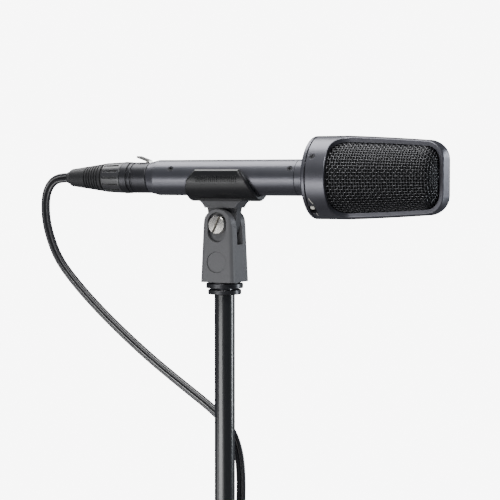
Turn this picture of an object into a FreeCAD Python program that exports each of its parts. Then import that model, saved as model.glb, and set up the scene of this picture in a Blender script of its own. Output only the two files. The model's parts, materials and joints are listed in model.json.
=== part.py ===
"""Side-carried stereo ribbon microphone in its stand clip, with its plug and twin lead.

Millimetres. The origin is the centre of the stand tube's lower end, +Z runs up the tube,
and +X runs along the microphone towards its head. -Y is the front.
"""
import FreeCAD, Part
import math
import os
from FreeCAD import Rotation, Vector

os.makedirs("parts", exist_ok=True)

X_AXIS = Vector(1, 0, 0)
Y_AXIS = Vector(0, 1, 0)
Z_AXIS = Vector(0, 0, 1)

# ---------------------------------------------------------------- driving dimensions
mic_axis = 340.0            # height of the microphone's centre line above the tube's end

handle_r = 10.5             # handle tube, outside
handle_bore_r = 9.3
socket_bore_r = 8.0         # the barrel that takes the plug's nose
handle_back = -48.2
handle_front = 48.6
barrel_end = -34.0          # where the narrow barrel opens into the handle's bore

cap_back = 58.5             # head, from its rear cap forward
cap_front = 60.8
collar_back = 61.5
opening_back = 73.0
taper_start = 78.7
taper_end = 126.0
head_end = 136.0
head_r = 23.6
head_r_mid = 22.42          # outside radius half way along the taper
head_r_end = 20.8
corner_r = 10.0
frame_wall = 2.4
band_half_back = 7.4        # half width of the band between the two openings
band_half_end = 5.7
opening_corner_r = 10.0
lip_round = 0.6

plug_r = 9.2                # cable plug
plug_back = -66.6
bushing_back = -79.5
boot_shoulder = -102.6      # where the boot's cone rounds into its tip
boot_tip = -107.0
boot_tip_r = 3.7

clip_gap = 0.3              # clearance between parts that move past each other
clip_inner_r = handle_r + clip_gap
clip_outer_r = 13.7
rim_bevel = 0.9
pivot_z = mic_axis - 27.3
pivot_r = 2.9
pivot_clearance = 0.08
ear_r = 9.0
clevis_half_top = (9.2, 10.0)       # half its size along X and Y, level with the ears' tops
clevis_half_bottom = (10.9, 11.0)
nut_half = 4.0
nut_end = 10.0              # how far behind the axis the pivot's nut reaches
recess_floor = -8.2         # the flat under the pivot screw's head
clevis_bottom = mic_axis - 60.7
slot_half = 3.5
slot_bottom = mic_axis - 38.9
stem_half = 3.2

tube_r = 6.0
tube_bore_r = 4.8
clutch_length = 22.0        # the tube's end that the rest of the stand holds
tube_top = mic_axis - 68.0
stud_r = 4.75
insert_bore_r = 4.8
insert_barrel_r = 7.0
insert_top = mic_axis - 46.0

screw_angle = 30.0          # screws stand this far above the front's horizontal
switch_angle = -45.7        # the low-cut switch, below it
switch_travel = 7.0         # degrees, downwards
switch_x = 63.2
screw_x_back = -31.0
screw_x_front = 45.8
collar_screw_x = 64.6

cord_r = 1.5
pair_half = 1.6             # half the distance between the lead's two cords
# The middle of the lead's two cords, from the boot round behind the tube and down it.
LEAD = [
    (-107.0, 0.0, 340.0),
    (-114.0, 0.0, 340.0),
    (-120.0, 0.2, 336.8),
    (-123.5, 0.3, 331.0),
    (-124.7, 0.4, 323.0),
    (-124.1, 0.7, 312.5),
    (-121.0, 1.2, 301.0),
    (-116.0, 1.9, 289.6),
    (-107.0, 3.0, 278.0),
    (-93.5, 4.7, 263.7),
    (-76.5, 6.6, 248.1),
    (-55.0, 8.8, 230.4),
    (-32.0, 10.4, 214.2),
    (-13.0, 11.4, 201.4),
    (-1.5, 11.6, 190.5),
    (3.8, 11.6, 177.0),
    (5.1, 11.6, 161.0),
    (4.7, 11.6, 146.0),
]
# Below the tie each cord runs to its own plug.
LEFT_END = [(3.1, 11.8, 131.0), (-3.2, 14.2, 119.5), (-8.0, 17.0, 108.0), (-8.0, 17.0, 96.0)]
RIGHT_END = [(6.3, 11.8, 131.0), (9.6, 14.2, 119.5), (12.6, 17.0, 108.0), (12.6, 17.0, 96.0)]

tie_top = 145.0
tie_bottom = 137.0
tie_thickness = 1.1
end_plug_length = 69.0      # from the boot's top down to the shell's mouth
end_plug_r = 9.4


# ---------------------------------------------------------------- helpers
def save(name, shape):
    """Write one node, a solid or several separate ones."""
    if shape.ShapeType == "Compound" and len(shape.Solids) == 1:
        shape = shape.Solids[0]
    shape.exportStep("parts/" + name + ".step")
    bad = "" if shape.isValid() else "  NOT VALID"
    print(f"{name:24s} {len(shape.Solids):3d} solids  {shape.Volume:10.1f} mm3{bad}")


def outline(points, place):
    """A face from its corners; a pair of points is an arc through the first to the second."""
    edges = []
    here = place(*points[0])
    for step in points[1:] + points[:1]:
        if isinstance(step[0], tuple):
            middle, end = place(*step[0]), place(*step[1])
            edges.append(Part.Arc(here, middle, end).toShape())
        else:
            end = place(*step)
            edges.append(Part.LineSegment(here, end).toShape())
        here = end
    return Part.Face(Part.Wire(edges))


def turned(points):
    """Solid of revolution about the microphone's axis, from (x, radius) corners."""
    face = outline(points, lambda x, r: Vector(x, 0, mic_axis + r))
    return face.revolve(Vector(0, 0, mic_axis), X_AXIS, 360)


def ring(back, front, outer, inner=0.0):
    """A plain ring or disc about the microphone's axis."""
    return turned([(back, inner), (back, outer), (front, outer), (front, inner)])


def upright(points, x=0.0, y=0.0):
    """Solid of revolution about a vertical axis, from (radius, z) corners."""
    face = outline(points, lambda r, z: Vector(x + r, y, z))
    return face.revolve(Vector(x, y, 0), Z_AXIS, 360)


def box(x, y, z):
    """A box from three (low, high) pairs."""
    size = [high - low for low, high in (x, y, z)]
    return Part.makeBox(*size, Vector(x[0], y[0], z[0]))


def rod(radius, start, end):
    """A round bar between two points."""
    along = Vector(*end) - Vector(*start)
    return Part.makeCylinder(radius, along.Length, Vector(*start), along)


def side_plate(points, half_y):
    """An (x, z) outline given about the microphone's axis, as a plate across Y."""
    face = outline(points, lambda x, z: Vector(x, -half_y, mic_axis + z))
    return face.extrude(Vector(0, 2 * half_y, 0))


def radial(shape, x, angle):
    """Turn a shape built along +Z from the axis to point out at an angle above the front."""
    out = Vector(0, -math.cos(math.radians(angle)), math.sin(math.radians(angle)))
    placed = shape.copy()
    placed.Placement = FreeCAD.Placement(Vector(x, 0, mic_axis), Rotation(Z_AXIS, out))
    return placed


def group(shapes):
    """Several separate solids in one node."""
    return Part.makeCompound([solid for shape in shapes for solid in shape.Solids])


def mirrored(shape):
    """The same shape on the rear side."""
    return shape.mirror(Vector(0, 0, 0), Y_AXIS)


# ---------------------------------------------------------------- head
def head_body(inset, back):
    """Everything inside the head's outside surface, less a skin of the given thickness."""
    r = corner_r - inset
    centre_r = head_r_end - corner_r
    slant = r * math.sqrt(0.5)
    middle_x = (taper_start + taper_end) / 2
    return turned([
        (back, 0.0),
        (back, head_r - inset),
        (taper_start, head_r - inset),
        ((middle_x, head_r_mid - inset), (taper_end, head_r_end - inset)),
        ((taper_end + slant, centre_r + slant), (head_end - inset, centre_r)),
        (head_end - inset, 0.0),
    ])


def outside_radius(x):
    """Radius of the head's outside surface at a place along it."""
    if x <= taper_start:
        return head_r
    if x <= taper_end:
        middle = Vector((taper_start + taper_end) / 2, head_r_mid, 0)
        taper = Part.Arc(Vector(taper_start, head_r, 0), middle, Vector(taper_end, head_r_end, 0))
        bow = taper.toShape().Curve
        return bow.Center.y + math.sqrt(bow.Radius ** 2 - (x - bow.Center.x) ** 2)
    return head_r_end - corner_r + math.sqrt(max(0.0, corner_r ** 2 - (x - taper_end) ** 2))


def middle_of(edge):
    """The point half way along an edge."""
    return edge.valueAt((edge.FirstParameter + edge.LastParameter) / 2)


def from_axis(point):
    """Distance of a point from the microphone's axis."""
    return math.hypot(point.y, point.z - mic_axis)


def is_lip(edge):
    """True for an edge between an opening's wall and the head's outside surface."""
    p = middle_of(edge)
    beside_band = abs(p.y) > band_half_end - 0.7 and p.x > opening_back - 0.1
    return beside_band and (p.x > head_end - 0.01 or abs(from_axis(p) - outside_radius(p.x)) < 0.05)


def opening():
    """The space that the front opening takes out of the head, seen from above."""
    past = 40.0
    corner_x = opening_back + opening_corner_r
    corner_y = -(band_half_back + opening_corner_r)
    slant = opening_corner_r * math.sqrt(0.5)
    points = [
        (opening_back, -past),
        (opening_back, corner_y),
        ((corner_x - slant, corner_y + slant), (corner_x, -band_half_back)),
        (head_end + 2, -band_half_end),
        (head_end + 2, -past),
    ]
    face = outline(points, lambda x, y: Vector(x, y, mic_axis - past))
    return face.extrude(Vector(0, 0, 2 * past))


def switch_slot():
    """The slot across the collar's rear edge that the low-cut switch works in."""
    slot = box((-2.1, 1.8), (-3.2, 3.2), (18.5, 26.0))
    return radial(slot, switch_x, switch_angle - switch_travel / 2)


def flat_screw(head_radius, shank_radius, length, top):
    """A countersunk screw along +Z with its head's top at the given height."""
    cone = head_radius - shank_radius
    solid = upright([
        (0, top - length),
        (shank_radius, top - length),
        (shank_radius, top - cone - 0.2),
        (head_radius, top - 0.2),
        (head_radius, top),
        (0, top),
    ])
    arm, wide, deep = head_radius * 0.62, 0.28, 0.55
    for sx, sy in ((arm, wide), (wide, arm)):
        solid = solid.cut(box((-sx, sx), (-sy, sy), (top - deep, top + 1)))
    return solid


def screw_hole(head_radius, shank_radius, length, top):
    """The hole that flat_screw fits."""
    cone = head_radius - shank_radius
    return upright([
        (0, top - length),
        (shank_radius, top - length),
        (shank_radius, top - cone - 0.2),
        (head_radius, top - 0.2),
        (head_radius, top + 3),
        (0, top + 3),
    ])


COLLAR_SCREWS = [screw_angle + 120 * k for k in range(3)]
collar_screw = (1.75, 0.9, 4.6, head_r - 0.12)
handle_screw = (1.8, 0.9, 3.2, handle_r - 0.08)


def head_frame():
    frame = head_body(0, collar_back).cut(head_body(frame_wall, collar_back - 1))
    cutter = opening()
    frame = frame.cut(cutter).cut(mirrored(cutter))
    frame = frame.makeFillet(lip_round, [edge for edge in frame.Edges if is_lip(edge)])
    frame = frame.cut(switch_slot())
    for angle in COLLAR_SCREWS:
        frame = frame.cut(radial(screw_hole(*collar_screw), collar_screw_x, angle))
    return frame


def head_rear_cap():
    """Rear plate with a rounded rim, and a spigot that the collar slides over."""
    spigot_r = head_r - frame_wall - 0.05
    round_r = 1.0
    slant = round_r * (1 - math.sqrt(0.5))
    cap = turned([
        (cap_back, 6.5),
        (cap_back, head_r - round_r),
        ((cap_back + slant, head_r - slant), (cap_back + round_r, head_r)),
        (cap_front, head_r),
        (cap_front, head_r - 1.2),
        (collar_back, head_r - 1.2),
        (collar_back, spigot_r),
        (68.5, spigot_r),
        (68.5, 19.3),
        (cap_front, 19.3),
        (cap_front, 6.5),
    ])
    cap = cap.cut(switch_slot())
    for angle in COLLAR_SCREWS:
        cap = cap.cut(radial(screw_hole(*collar_screw), collar_screw_x, angle))
    return cap


def half(shape, side):
    """The front (-1) or rear (+1) half of a shell, clear of the other half."""
    gap, past = 0.15, 60.0
    span = (-past, -gap) if side < 0 else (gap, past)
    keep = box((cap_back, head_end + 5), span, (mic_axis - past, mic_axis + past))
    return shape.common(keep)


def grille():
    """The coarse mesh, as a thin shell just inside the frame."""
    return head_body(frame_wall + 0.1, 70.0).cut(head_body(frame_wall + 0.8, 69.0))


def fine_screen():
    """The fine cloth screen behind the grille, one cup."""
    return head_body(frame_wall + 1.1, 69.4).cut(head_body(frame_wall + 1.5, 69.0))


save("head_frame", head_frame())
save("head_rear_cap", head_rear_cap())
save("head_screws", group([radial(flat_screw(*collar_screw), collar_screw_x, a) for a in COLLAR_SCREWS]))
save("front_mesh", half(grille(), -1))
save("rear_mesh", half(grille(), 1))
save("fine_screen", fine_screen())


# ---------------------------------------------------------------- ribbon motors
plate_xs = (70.5, 100.5, 128.0)     # back faces of the three plates of the motor stack
plate_t = 1.6
pillar_ring = 13.2
pillar_r = 1.1
ribbon_half = 2.5
ribbon_t = 0.15
pole_inner, pole_outer = 2.8, 5.6
magnet_outer = 10.6


def quarter(shape, turns):
    """Turn a motor part about the microphone's axis by quarter turns."""
    moved = shape.copy()
    moved.rotate(Vector(0, 0, mic_axis), X_AXIS, 90 * turns)
    return moved


def motor_space(k):
    """Where motor k starts and ends along the axis."""
    return plate_xs[k] + plate_t, plate_xs[k + 1]


def bars(k, near, far, half_z):
    """The two bars, left and right of ribbon k."""
    back, front = motor_space(k)
    z = (mic_axis - half_z, mic_axis + half_z)
    pair = [box((back, front), (near, far), z), box((back, front), (-far, -near), z)]
    return [quarter(bar, k) for bar in pair]


def clamps(k):
    """The two blocks that hold ribbon k's ends."""
    back, front = motor_space(k)
    y = (-ribbon_half, ribbon_half)
    z = (mic_axis - 1.6, mic_axis + 1.6)
    return [quarter(box(x, y, z), k) for x in ((back, back + 2.2), (front - 2.2, front))]


def ribbon(k):
    """A thin foil folded across its length, between its clamps."""
    back, front = motor_space(k)
    back, front = back + 2.2, front - 2.2
    folds = 24
    wave = 0.3
    top = []
    for i in range(folds + 1):
        height = 0.0 if i in (0, folds) else wave * (-1) ** i
        top.append((back + (front - back) * i / folds, height))
    low = [(x, z - ribbon_t) for x, z in reversed(top)]
    face = outline(top + low, lambda x, z: Vector(x, -ribbon_half, mic_axis + z))
    return quarter(face.extrude(Vector(0, 2 * ribbon_half, 0)), k)


def motor_plates():
    """Base, middle and top plate, drilled for the pillars."""
    plates = [ring(x, x + plate_t, r) for x, r in zip(plate_xs, (16.0, 16.0, 15.0))]
    posts = pillars()
    wire_way = rod(2.2, (60, 0, mic_axis - 9.0), (75, 0, mic_axis - 9.0))
    plates[0] = plates[0].cut(wire_way)
    return [plates[0], plates[1].cut(posts[0]).cut(posts[1]).cut(posts[2]).cut(posts[3]), plates[2]]


def pillars():
    """Four posts on the diagonals, from the base plate to the top plate."""
    posts = []
    for k in range(4):
        angle = math.radians(45 + 90 * k)
        y, z = pillar_ring * math.cos(angle), mic_axis + pillar_ring * math.sin(angle)
        posts.append(rod(pillar_r, (plate_xs[0] + plate_t, y, z), (plate_xs[2], y, z)))
    return posts


def shock_mounts():
    """Three rubber bushes between the rear cap and the motor's base plate."""
    bushes = []
    for k in range(3):
        angle = math.radians(90 + 120 * k)
        y, z = 11.5 * math.cos(angle), mic_axis + 11.5 * math.sin(angle)
        bushes.append(rod(2.6, (cap_front, y, z), (plate_xs[0], y, z)))
    return bushes


save("motor_magnets", group(bars(0, pole_outer, magnet_outer, 4.0) + bars(1, pole_outer, magnet_outer, 4.0)))
save("pole_pieces", group(bars(0, pole_inner, pole_outer, 2.4) + bars(1, pole_inner, pole_outer, 2.4)))
save("ribbon_clamps", group(clamps(0) + clamps(1)))
save("ribbon_rear", ribbon(0))
save("ribbon_front", ribbon(1))
save("motor_plates", group(motor_plates()))
save("motor_pillars", group(pillars()))
save("shock_mounts", group(shock_mounts()))


# ---------------------------------------------------------------- low-cut switch
def switch_nub():
    """The slider's knob, which stands up through the slot."""
    knob = box((-1.25, 1.25), (-1.2, 1.2), (18.7, head_r + 0.15))
    return radial(knob, switch_x, switch_angle)


def switch_body():
    """The slide switch under the slot."""
    case = box((-2.6, 2.6), (-4.6, 4.6), (16.9, 18.4))
    return radial(case, switch_x + 1.0, switch_angle)


save("switch_nub", switch_nub())


# ---------------------------------------------------------------- handle
def handle_tube():
    tube = turned([
        (handle_back, socket_bore_r),
        (handle_back, 9.15),
        (handle_back + 0.5, 9.35),
        (handle_back + 5.4, handle_r),
        (handle_front, handle_r),
        (handle_front, handle_bore_r),
        (barrel_end, handle_bore_r),
        (barrel_end, socket_bore_r),
    ])
    for x in (screw_x_back, screw_x_front):
        tube = tube.cut(radial(screw_hole(*handle_screw), x, screw_angle))
    return tube


def neck_sleeve():
    """Sleeve between handle and head, with a spigot inside the handle's end."""
    sleeve = turned([
        (38.6, 8.0),
        (38.6, handle_bore_r - 0.02),
        (handle_front, handle_bore_r - 0.02),
        (handle_front, handle_r - 0.25),
        (handle_front + 0.35, handle_r),
        (55.6, handle_r),
        ((57.4, handle_r + 0.35), (cap_back, handle_r + 1.4)),
        (cap_back, 8.0),
    ])
    return sleeve.cut(radial(screw_hole(*handle_screw), screw_x_front, screw_angle))


def xlr_positions():
    """Five contacts on a ring, the key's gap at the bottom."""
    return [(4.6 * math.cos(math.radians(a)), 4.6 * math.sin(math.radians(a)))
            for a in (-60, -6, 48, 132, 186)]


def socket_insert():
    insert = ring(barrel_end, barrel_end + 7.5, handle_bore_r - 0.02)
    for y, z in xlr_positions():
        insert = insert.cut(rod(1.0, (barrel_end - 1, y, mic_axis + z), (barrel_end + 9, y, mic_axis + z)))
    return insert.cut(radial(screw_hole(*handle_screw), screw_x_back, screw_angle))


def socket_pins():
    return [rod(1.0, (barrel_end - 10.5, y, mic_axis + z), (barrel_end + 10.0, y, mic_axis + z))
            for y, z in xlr_positions()]


save("handle_tube", handle_tube())
save("neck_sleeve", neck_sleeve())
save("handle_screws", group([radial(flat_screw(*handle_screw), x, screw_angle)
                             for x in (screw_x_back, screw_x_front)]))
save("socket_insert", socket_insert())
save("socket_pins", group(socket_pins()))

board_back, board_front = -23.0, 36.0
board_top = mic_axis - 1.0
board_t = 1.6
board_half = 7.8


def board_carriers():
    """Two slotted rings that hold the board across the handle's bore."""
    rings = []
    for x in (-19.0, 29.0):
        hoop = ring(x, x + 3.0, handle_bore_r - 0.02, 7.0)
        slot = box((x - 1, x + 4), (-board_half, board_half), (board_top - board_t, board_top))
        rings.append(hoop.cut(slot))
    return rings


def board_parts():
    """Small electrolytic cans under the board and transistors beside the transformers."""
    parts = []
    for x in (-10.0, -2.0, 6.0, 14.0):
        parts.append(rod(2.4, (x, 0, board_top - board_t), (x, 0, board_top - board_t - 4.6)))
    for x in (23.0, 26.0):
        parts.append(box((x, x + 1.8), (-2.2, 2.2), (board_top, board_top + 4.5)))
    return parts


def transformers():
    """Two screened output transformers in round cans."""
    z = board_top + 4.6
    return [rod(4.4, (x, 0, z), (x + 14.0, 0, z)) for x in (-14.5, 4.5)]


def wire_loom():
    """Four wires from the ribbon motors through the neck to the board."""
    return [rod(0.6, (board_front, y, mic_axis + z), (plate_xs[0] - 0.2, y, mic_axis + z))
            for y, z in ((-2.0, -0.2), (-0.6, -0.2), (0.8, -0.2), (2.2, -0.2))]


save("preamp_board", box((board_back, board_front), (-board_half, board_half),
                         (board_top - board_t, board_top)))
save("board_carriers", group(board_carriers()))
save("board_components", group(board_parts()))
save("transformers", group(transformers()))
save("wire_loom", group(wire_loom()))
save("switch_body", switch_body())


# ---------------------------------------------------------------- cable plug
def plug_shell():
    """Sleeve with a waist, a row of finger ridges at its rear and a slot for the latch."""
    shell = turned([
        (handle_back - 0.25, 7.8),
        (handle_back - 0.25, 8.9),
        (handle_back - 0.65, plug_r),
        (-57.8, plug_r),
        (-58.3, plug_r - 0.45),
        (-59.0, plug_r - 0.45),
        (-59.3, plug_r),
        (-60.8, plug_r),
        (-61.1, plug_r - 0.45),
        (-61.8, plug_r - 0.45),
        (-62.1, plug_r + 0.15),
        (-66.0, plug_r + 0.3),
        (plug_back, plug_r - 0.1),
        (plug_back, 7.8),
    ])
    slot = box((-51.9, handle_back + 1), (-2.6, 2.6), (mic_axis + 7.0, mic_axis + 20))
    return shell.cut(slot)


def plug_insert():
    """Insulating nose that enters the microphone's barrel, with five sockets."""
    insert = turned([(-64.0, 0), (-64.0, 7.78), (handle_back - 0.25, 7.78), (handle_back - 0.25, 7.6),
                     (-35.0, 7.6), (-35.0, 0)])
    for y, z in xlr_positions():
        insert = insert.cut(rod(1.5, (-70, y, mic_axis + z), (-30, y, mic_axis + z)))
    catch = box((-51.9, handle_back + 1), (-2.6, 2.6), (mic_axis + 7.0, mic_axis + 20))
    return insert.cut(catch)


def plug_contacts():
    """Five split-free sockets, each open for its pin."""
    sockets = []
    for y, z in xlr_positions():
        at = (y, mic_axis + z)
        body = rod(1.5, (-66.0, *at), (-35.5, *at))
        sockets.append(body.cut(rod(1.02, (-45.5, *at), (-30.0, *at))))
    return sockets


latch_pivot = (-50.4, 8.9)          # x and height above the axis of the latch's hinge


def plug_latch():
    """Thumb lever that stands up at its rear end and dips into the shell, with its hinge pin."""
    x, height = latch_pivot
    pin = rod(0.6, (x, -2.5, mic_axis + height), (x, 2.5, mic_axis + height))
    lever = side_plate([
        (-57.9, 12.9),
        (-56.9, 12.95),
        (-49.4, 10.3),
        (-49.1, 8.3),
        (-51.2, 8.3),
        (-51.5, 9.7),
        (-57.8, 11.8),
    ], 2.15)
    return lever.fuse(pin)


def plug_bushing():
    """Tapered nut behind the shell, with finger flats cut along it."""
    nut = turned([
        (plug_back, 5.2),
        (plug_back, 9.2),
        (plug_back - 0.6, 9.3),
        (-70.0, 9.2),
        (bushing_back + 0.4, 8.75),
        (bushing_back, 8.5),
        (bushing_back, 5.2),
    ])
    flats = 14
    for k in range(flats):
        groove = box((bushing_back + 1.0, -68.2), (-0.55, 0.55), (8.45, 12.0))
        nut = nut.cut(radial(groove, 0, 360.0 / flats * k))
    return nut


def plug_chuck():
    """The clamp that grips the cords inside the nut."""
    return ring(-76.5, -66.0, 5.1).cut(ring(-77.0, -65.0, 3.3))


def boot_radius(x):
    """Outside of the boot, a straight cone from the nut to its shoulder."""
    thick, thin = 8.6, 5.5
    return thin + (x - boot_shoulder) * (thick - thin) / (bushing_back - boot_shoulder)


def plug_boot():
    """Rubber bend relief: a neck at the nut, six fine grooves and a smooth rounded end."""
    neck, neck_depth = bushing_back - 0.9, 0.8
    points = [(bushing_back, 0), (bushing_back, boot_radius(bushing_back) - neck_depth),
              (neck, boot_radius(neck) - neck_depth), (neck - 0.2, boot_radius(neck))]
    grooves, first, pitch, width, depth = 6, bushing_back - 3.0, 1.9, 0.75, 0.65
    for k in range(grooves):
        front = first - pitch * k
        back = front - width
        points += [(front, boot_radius(front)), (front - 0.15, boot_radius(front) - depth),
                   (back + 0.15, boot_radius(back) - depth), (back, boot_radius(back))]
    points += [(boot_shoulder, boot_radius(boot_shoulder)), ((-104.6, 4.9), (-105.6, boot_tip_r)),
               (boot_tip, boot_tip_r - 0.1), (boot_tip, 0)]
    return turned(points)


save("plug_shell", plug_shell())
save("plug_insert", plug_insert())
save("plug_contacts", group(plug_contacts()))
save("plug_latch", plug_latch())
save("plug_bushing", plug_bushing())
save("plug_chuck", plug_chuck())
save("plug_boot", plug_boot())


# ---------------------------------------------------------------- stand clip
def trough():
    """The open gutter that grips the handle, cut to its sloping outline and bevelled."""
    past = 24.0
    gutter = ring(-past, past, clip_outer_r, clip_inner_r).common(side_plate([
        (-21.0, -9.0),
        (-18.9, -1.5),
        (-13.4, 4.8),
        (15.0, 4.8),
        (20.0, -1.5),
        (23.6, -9.0),
        (23.6, -16.0),
        (-21.0, -16.0),
    ], 20.0))
    rim = [edge for edge in gutter.Edges if abs(from_axis(middle_of(edge)) - clip_outer_r) < 0.05]
    return gutter.makeChamfer(rim_bevel, rim)


def grip_ridges():
    """Fine upright ridges along both arms."""
    ridges = []
    for k in range(20):
        x = -12.2 + 1.35 * k
        ridges.append(ring(x, x + 0.55, clip_outer_r + 0.22, clip_outer_r - 0.6))
    band = box((-40, 40), (-20, 20), (mic_axis - 2.4, mic_axis + 1.0))
    return Part.makeCompound(ridges).common(band)


def stem():
    """Flared stem under the trough that narrows to a round knuckle between the ears."""
    knuckle_r = 8.6
    drop = pivot_z - mic_axis
    points = [
        (-16.4, -9.0),
        (-16.4, -12.4),
        ((-11.6, -14.9), (-9.5, -19.0)),
        (-knuckle_r, drop),
        ((0.0, drop - knuckle_r), (knuckle_r, drop)),
        (9.5, -19.0),
        ((11.6, -14.9), (16.4, -12.4)),
        (16.4, -9.0),
    ]
    above_ears = pivot_z + ear_r + 0.75
    wide = side_plate(points, 6.4).cut(box((-20, 20), (-20, 20), (pivot_z - 20, above_ears)))
    web = side_plate(points, stem_half)
    return web.fuse(wide).cut(ring(-30, 30, clip_outer_r - 1.2))


def clip_holder():
    holder = trough().fuse(stem())
    holder = holder.fuse(grip_ridges().Solids)
    bore = rod(pivot_r + pivot_clearance, (0, -20, pivot_z), (0, 20, pivot_z))
    return holder.cut(bore).removeSplitter()


def nut_prism(start_y, end_y):
    """A hexagonal prism about the pivot, across Y."""
    r = nut_half / math.cos(math.pi / 6)
    corners = [Vector(r * math.cos(math.pi / 3 * k), start_y, pivot_z + r * math.sin(math.pi / 3 * k))
               for k in range(6)]
    face = Part.Face(Part.makePolygon(corners + corners[:1]))
    return face.extrude(Vector(0, end_y - start_y, 0))


def rounded_square(half, corner, z):
    """A level wire with straight sides and round corners."""
    hx, hy = half
    edges = []
    for sx, sy, first_x in ((1, 1, True), (-1, 1, False), (-1, -1, True), (1, -1, False)):
        centre = Vector(sx * (hx - corner), sy * (hy - corner), z)
        on_x, on_y = centre + Vector(sx * corner, 0, 0), centre + Vector(0, sy * corner, 0)
        start, end = (on_x, on_y) if first_x else (on_y, on_x)
        middle = centre + Vector(sx, sy, 0) * corner * math.sqrt(0.5)
        if edges:
            edges.append(Part.LineSegment(last, start).toShape())
        else:
            first = start
        edges.append(Part.Arc(start, middle, end).toShape())
        last = end
    edges.append(Part.LineSegment(last, first).toShape())
    return Part.Wire(edges)


def clip_clevis():
    """Tapered square body with two round-topped ears, a screw recess and a nut pocket."""
    drop = pivot_z - mic_axis
    corner, ears_top, past = 2.6, pivot_z + ear_r, 14.0
    wires = [rounded_square(clevis_half_bottom, corner, clevis_bottom),
             rounded_square(clevis_half_top, corner, ears_top)]
    body = Part.makeLoft(wires, True, True)
    body = body.common(side_plate([
        (-past, clevis_bottom - mic_axis),
        (-past, drop - 12.0),
        (-ear_r, drop),
        ((0.0, drop + ear_r), (ear_r, drop)),
        (past, drop - 12.0),
        (past, clevis_bottom - mic_axis),
    ], past))
    body = body.cut(box((-20, 20), (-slot_half, slot_half), (slot_bottom, mic_axis)))
    body = body.cut(rod(pivot_r + pivot_clearance, (0, -20, pivot_z), (0, 20, pivot_z)))
    recess_r, low, high = 5.9, mic_axis - 31.5, mic_axis - 25.9
    for z in (low, high):
        body = body.cut(rod(recess_r, (0, -20, z), (0, recess_floor, z)))
    body = body.cut(box((-recess_r, recess_r), (-20, recess_floor), (low, high)))
    body = body.cut(nut_prism(nut_end - 3.2, 20))
    body = body.cut(rod(insert_barrel_r, (0, 0, clevis_bottom - 1), (0, 0, insert_top)))
    dimple_r, floor_y, z = 6.2, -10.25, mic_axis - 49.0
    return body.cut(rod(dimple_r, (0, -past, z), (0, floor_y, z)))


def clip_thread_insert():
    """Metal thread with a flange that shows as a ring under the clip."""
    flange_r, round_r = 10.85, 0.3
    low, high = mic_axis - 64.4, mic_axis - 61.5
    return upright([
        (insert_bore_r, low),
        (flange_r - round_r, low),
        (flange_r, low + round_r),
        (flange_r, high - round_r),
        (flange_r - round_r, high),
        (9.3, high),
        (9.3, clevis_bottom),
        (insert_barrel_r, clevis_bottom),
        (insert_barrel_r, insert_top),
        (insert_bore_r, insert_top),
    ])


def clip_pivot_nut():
    nut = nut_prism(nut_end - 3.2, nut_end)
    return nut.cut(rod(pivot_r + pivot_clearance, (0, 0, pivot_z), (0, 20, pivot_z)))


def clip_pivot_screw():
    """Coin-slot screw whose slot leans over, with a low domed head."""
    head_radius, under, rim, top = 5.4, recess_floor - clip_gap, -10.7, -11.25
    profile = [
        (0, 9.6),
        (pivot_r - 0.4, 9.6),
        (pivot_r, 9.2),
        (pivot_r, under),
        (head_radius, under),
        (head_radius, rim),
        (head_radius - 0.5, rim - 0.4),
        (0, top),
    ]
    face = outline(profile, lambda r, y: Vector(r, y, pivot_z))
    screw = face.revolve(Vector(0, 0, pivot_z), Y_AXIS, 360)
    slot = box((-0.75, 0.75), (-12.0, -9.4), (-8.0, 8.0))
    slot.rotate(Vector(0, 0, 0), Y_AXIS, 25)
    slot.translate(Vector(0, 0, pivot_z))
    return screw.cut(slot)


save("clip_holder", clip_holder())
save("clip_clevis", clip_clevis())
save("clip_thread_insert", clip_thread_insert())
save("clip_pivot_nut", clip_pivot_nut())
save("clip_pivot_screw", clip_pivot_screw())


# ---------------------------------------------------------------- stand tube
def stand_tube():
    """The stand's upper tube, with the stop groove that marks how far it goes into its clutch."""
    edge, groove = 0.4, 0.35
    return upright([
        (tube_bore_r, 0),
        (tube_r, 0),
        (tube_r, clutch_length),
        (tube_r - groove, clutch_length + groove),
        (tube_r - groove, clutch_length + 1.2),
        (tube_r, clutch_length + 1.2 + groove),
        (tube_r, tube_top - edge),
        (tube_r - edge, tube_top),
        (tube_bore_r, tube_top),
    ])


def stand_stud():
    """Threaded stud pressed into the tube, up into the clip's thread."""
    return upright([
        (0, tube_top - 22),
        (tube_bore_r, tube_top - 22),
        (tube_bore_r, tube_top),
        (stud_r, tube_top),
        (stud_r, insert_top - 1.6),
        (stud_r - 0.8, insert_top - 0.8),
        (0, insert_top - 0.8),
    ])


def stand_lock_ring():
    lock_r, round_r, high = 9.75, 0.3, mic_axis - 65.2
    return upright([
        (stud_r, tube_top),
        (lock_r - round_r, tube_top),
        (lock_r, tube_top + round_r),
        (lock_r, high - round_r),
        (lock_r - round_r, high),
        (stud_r, high),
    ])


save("stand_tube", stand_tube())
save("stand_stud", stand_stud())
save("stand_lock_ring", stand_lock_ring())
save("stand_end_plug", upright([(0, 0), (tube_bore_r, 0), (tube_bore_r, 12.0), (0, 12.0)]))


# ---------------------------------------------------------------- twin lead
def beside(route, side):
    """The route of one cord: the pair's middle moved sideways in its own upright plane."""
    moved = []
    last = len(route) - 1
    for i, (x, y, z) in enumerate(route):
        before, after = route[max(i - 1, 0)], route[min(i + 1, last)]
        dx, dz = after[0] - before[0], after[2] - before[2]
        if i < 2:
            dx, dz = -1.0, 0.0      # straight out of the boot
        long = math.hypot(dx, dz)
        moved.append((x + side * pair_half * dz / long, y, z - side * pair_half * dx / long))
    return moved


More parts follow.
